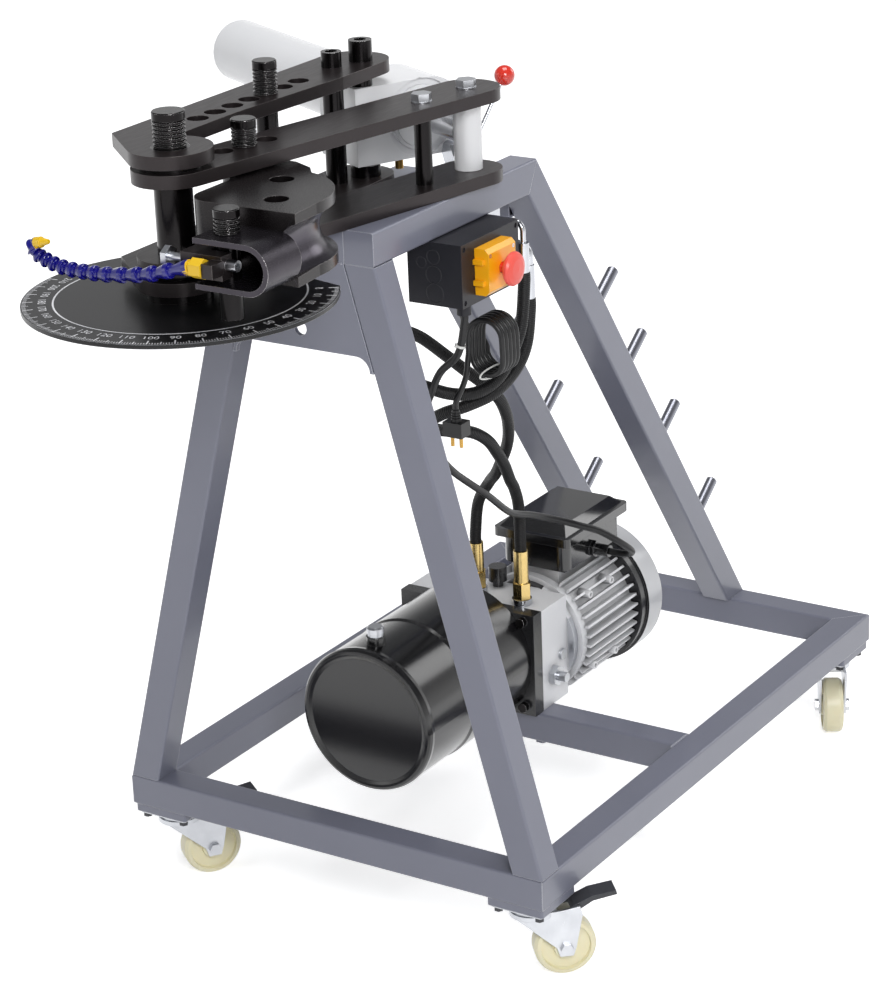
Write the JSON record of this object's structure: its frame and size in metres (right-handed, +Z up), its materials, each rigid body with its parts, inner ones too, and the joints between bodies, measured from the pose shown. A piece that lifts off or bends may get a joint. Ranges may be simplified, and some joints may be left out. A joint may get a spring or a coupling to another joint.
{
  "type": "hydraulic pipe bender",
  "caption": "Wheeled hydraulic pipe bender: grooved die and strap between plates, swinging arm driven by a cylinder, with pump, motor and tank in a tube frame.",
  "frame": {"origin": "on the floor under the middle of the whole machine", "axes": "+X to the machine's right, +Y from the bending head to the motor end, +Z up"},
  "size_m": [0.7885, 1.2645, 1.076],
  "materials": {
    "frame_paint": "satin grey paint",
    "plate_steel": "dark mill scale, lightly oiled",
    "pin_steel": "turned and blackened",
    "strap_steel": "polished by use",
    "zinc_steel": "zinc plated",
    "black_paint": "gloss black paint",
    "white_paint": "satin grey-white paint",
    "cast_alloy": "die cast",
    "cover_paint": "satin paint",
    "nylon": "moulded",
    "box_plastic": "moulded",
    "yellow_plastic": "moulded",
    "red_plastic": "moulded",
    "blue_plastic": "moulded",
    "hose_rubber": "fine ribbed cover",
    "cord_rubber": "smooth sheath"
  },
  "bodies": {
    "base": {"front_tube": "frame_paint", "rear_tube": "frame_paint", "side_rail_left": "frame_paint", "side_rail_right": "frame_paint", "middle_tube": "frame_paint", "front_leg_left": "frame_paint", "front_leg_right": "frame_paint", "rear_leg_left": "frame_paint", "rear_leg_right": "frame_paint", "ring_rail_left": "frame_paint", "ring_rail_right": "frame_paint", "ring_rear_tube": "frame_paint", "apron_plate": "frame_paint", "die_pegs": "zinc_steel", "caster_plates": "zinc_steel", "fixed_plates": "plate_steel", "plate_spacers": "black_paint", "plate_bolts": "zinc_steel", "degree_disc": "black_paint", "bending_die": "strap_steel", "tube_strap": "strap_steel", "strap_block": "plate_steel", "oil_tank": "black_paint", "pump_block": "cast_alloy", "hose_fittings": "zinc_steel", "motor_body": "cast_alloy", "fan_cover": "cover_paint", "terminal_box": "black_paint", "switch_box": "box_plastic", "switch_housing": "yellow_plastic", "pressure_hose": "hose_rubber", "return_hose": "hose_rubber", "motor_cable": "cord_rubber", "mains_hank": "cord_rubber", "mains_lead": "cord_rubber", "mains_plug": "cord_rubber"},
    "main_pin": {"main_pin": "pin_steel"},
    "die_pin": {"die_pin": "pin_steel"},
    "strap_pin": {"strap_pin": "pin_steel"},
    "arm": {"swing_plates": "plate_steel", "swing_pins": "black_paint"},
    "counter_die_pin": {"counter_die_pin": "pin_steel"},
    "cylinder": {"cylinder_barrel": "white_paint", "cylinder_head": "white_paint", "ball_valve": "zinc_steel"},
    "rod": {"cylinder_rod": "zinc_steel"},
    "valve_lever": {"valve_lever": "zinc_steel"},
    "filler_cap": {"filler_cap": "zinc_steel"},
    "stop_button": {"stop_button": "red_plastic"},
    "nozzle_arm": {"nozzle_arm": "blue_plastic"},
    "fork_fl": {"caster_fork_fl": "zinc_steel"},
    "wheel_fl": {"caster_wheel_fl": "nylon"},
    "fork_fr": {"caster_fork_fr": "zinc_steel"},
    "wheel_fr": {"caster_wheel_fr": "nylon"},
    "fork_rl": {"caster_fork_rl": "zinc_steel"},
    "wheel_rl": {"caster_wheel_rl": "nylon"},
    "fork_rr": {"caster_fork_rr": "zinc_steel"},
    "wheel_rr": {"caster_wheel_rr": "nylon"},
    "pedal_fl": {"brake_pedal_fl": "black_paint"},
    "pedal_fr": {"brake_pedal_fr": "black_paint"}
  },
  "joints": [
    {"name": "arm_swing", "type": "hinge", "parent": "base", "child": "arm", "pos_m": [0.03724, -0.4565, 0.9605], "axis": [0, 0, 1], "range_deg": [0, 20]},
    {"name": "cylinder_pivot", "type": "hinge", "parent": "arm", "child": "cylinder", "pos_m": [-0.00176, -0.0365, 0.9605], "axis": [0, 0, 1], "range_deg": [0, 3.5]},
    {"name": "rod_stroke", "type": "slide", "parent": "cylinder", "child": "rod", "axis": [0.8926, -0.4509, 0], "range_m": [0, 0.16]},
    {"name": "main_pin_lift", "type": "slide", "parent": "base", "child": "main_pin", "axis": [0, 0, 1], "range_m": [0, 0.18]},
    {"name": "die_pin_lift", "type": "slide", "parent": "base", "child": "die_pin", "axis": [0, 0, 1], "range_m": [0, 0.12]},
    {"name": "strap_pin_lift", "type": "slide", "parent": "base", "child": "strap_pin", "axis": [0, 0, 1], "range_m": [0, 0.1]},
    {"name": "counter_pin_lift", "type": "slide", "parent": "arm", "child": "counter_die_pin", "axis": [0, 0, 1], "range_m": [0, 0.16]},
    {"name": "valve_turn", "type": "hinge", "parent": "cylinder", "child": "valve_lever", "pos_m": [0.08127, 0.06352, 0.9145], "axis": [-0.4509, -0.8926, 0], "range_deg": [-90, 0]},
    {"name": "swivel_fl", "type": "hinge", "parent": "base", "child": "fork_fl", "pos_m": [-0.20776, -0.2215, 0.09], "axis": [0, 0, 1], "continuous": true},
    {"name": "roll_fl", "type": "hinge", "parent": "fork_fl", "child": "wheel_fl", "pos_m": [-0.18542, -0.19076, 0.0375], "axis": [-0.809, 0.5878, 0], "continuous": true},
    {"name": "brake_fl", "type": "hinge", "parent": "fork_fl", "child": "pedal_fl", "pos_m": [-0.17837, -0.18105, 0.087], "axis": [-0.809, 0.5878, 0], "range_deg": [0, 8]},
    {"name": "swivel_fr", "type": "hinge", "parent": "base", "child": "fork_fr", "pos_m": [0.31224, -0.2215, 0.09], "axis": [0, 0, 1], "continuous": true},
    {"name": "roll_fr", "type": "hinge", "parent": "fork_fr", "child": "wheel_fr", "pos_m": [0.34048, -0.19607, 0.0375], "axis": [-0.6691, 0.7431, 0], "continuous": true},
    {"name": "brake_fr", "type": "hinge", "parent": "fork_fr", "child": "pedal_fr", "pos_m": [0.3494, -0.18804, 0.087], "axis": [-0.6691, 0.7431, 0], "range_deg": [0, 8]},
    {"name": "swivel_rl", "type": "hinge", "parent": "base", "child": "fork_rl", "pos_m": [-0.20776, 0.5885, 0.09], "axis": [0, 0, 1], "continuous": true},
    {"name": "roll_rl", "type": "hinge", "parent": "fork_rl", "child": "wheel_rl", "pos_m": [-0.24067, 0.6075, 0.0375], "axis": [-0.5, -0.866, 0], "continuous": true},
    {"name": "swivel_rr", "type": "hinge", "parent": "base", "child": "fork_rr", "pos_m": [0.31224, 0.5885, 0.09], "axis": [0, 0, 1], "continuous": true},
    {"name": "roll_rr", "type": "hinge", "parent": "fork_rr", "child": "wheel_rr", "pos_m": [0.33124, 0.55559, 0.0375], "axis": [0.866, 0.5, 0], "continuous": true},
    {"name": "cap_turn", "type": "hinge", "parent": "base", "child": "filler_cap", "pos_m": [0.01424, -0.0865, 0.3], "axis": [0, 0, 1], "continuous": true},
    {"name": "stop_press", "type": "slide", "parent": "base", "child": "stop_button", "axis": [-1, 0, 0], "range_m": [0, 0.004], "stiffness_N_per_m": 1500},
    {"name": "nozzle_swing", "type": "hinge", "parent": "base", "child": "nozzle_arm", "pos_m": [0.11224, -0.5755, 0.9505], "axis": [1, 0, 0], "range_deg": [-25, 25]}
  ],
  "couplings": [
    {"joint": "cylinder_pivot", "follows": "arm_swing", "ratio": 0.166},
    {"joint": "rod_stroke", "follows": "arm_swing", "m_per_rad": 0.4485}
  ]
}
